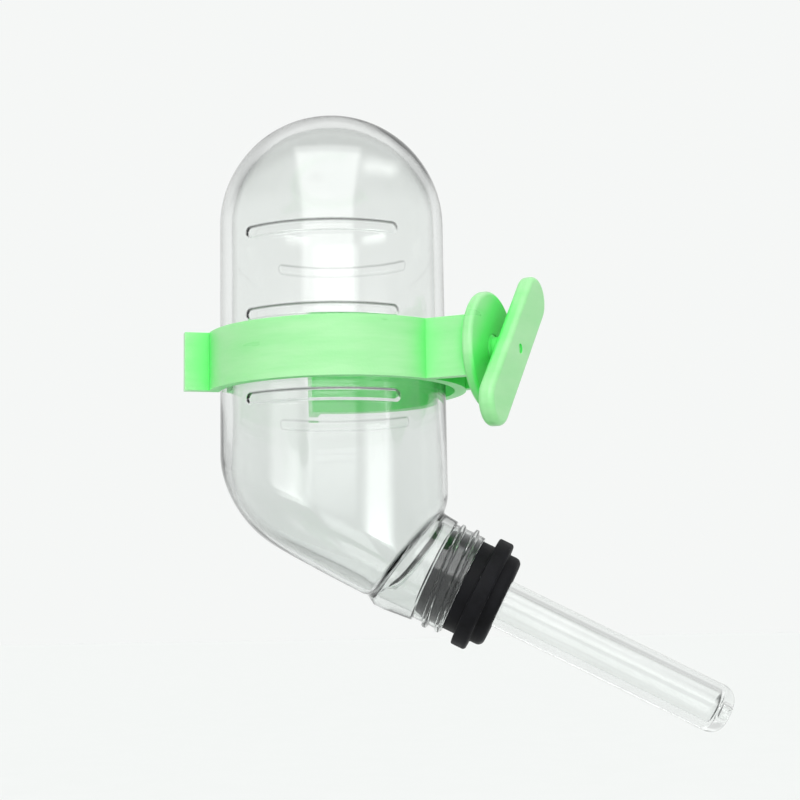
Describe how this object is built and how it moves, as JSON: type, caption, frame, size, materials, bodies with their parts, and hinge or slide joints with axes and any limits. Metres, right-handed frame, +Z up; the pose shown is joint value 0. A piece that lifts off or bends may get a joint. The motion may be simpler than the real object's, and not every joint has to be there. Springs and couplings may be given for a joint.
{
  "type": "rabbit water bottle",
  "caption": "Hanging small-animal water bottle with a round top and angled neck, rubber stopper, glass drinking tube and a C-shaped screw clip for cage wire.",
  "frame": {"origin": "centre of the clip's clamping face, where the clamp axis crosses it", "axes": "+X along the clamp screw, out of the clip and through the cage wall; +Z up, along the bottle's own axis; +Y level, to the far side of the bottle"},
  "size_m": [0.0891, 0.0521, 0.1154],
  "materials": {
    "clear_plastic": "clear gloss",
    "black_rubber": "matt",
    "tube_glass": "polished",
    "green_plastic": "translucent gloss"
  },
  "bodies": {
    "clip": {"clip_bracket": "green_plastic"},
    "bottle": {"bottle": "clear_plastic"},
    "stopper": {"stopper": "black_rubber"},
    "tube": {"drinking_tube": "tube_glass"},
    "stud": {"clamp_stud": "green_plastic"},
    "knob": {"clamp_knob": "green_plastic"}
  },
  "joints": [
    {"name": "bottle_swivel", "type": "hinge", "parent": "clip", "child": "bottle", "pos_m": [-0.0325, 0, 0], "axis": [0, 0, 1], "continuous": true},
    {"name": "stopper_pull", "type": "slide", "parent": "bottle", "child": "stopper", "axis": [0.8318, 0.3193, -0.454], "range_m": [0, 0.025]},
    {"name": "tube_slide", "type": "slide", "parent": "stopper", "child": "tube", "axis": [0.8318, 0.3193, -0.454], "range_m": [-0.015, 0.008]},
    {"name": "screw_travel", "type": "slide", "parent": "clip", "child": "stud", "axis": [1, 0, 0], "range_m": [-0.0018, 0.005]},
    {"name": "knob_turn", "type": "hinge", "parent": "stud", "child": "knob", "pos_m": [0, 0, 0], "axis": [1, 0, 0], "range_deg": [-360, 990]}
  ],
  "couplings": [
    {"joint": "screw_travel", "follows": "knob_turn", "m_per_rad": 0.00028648}
  ]
}
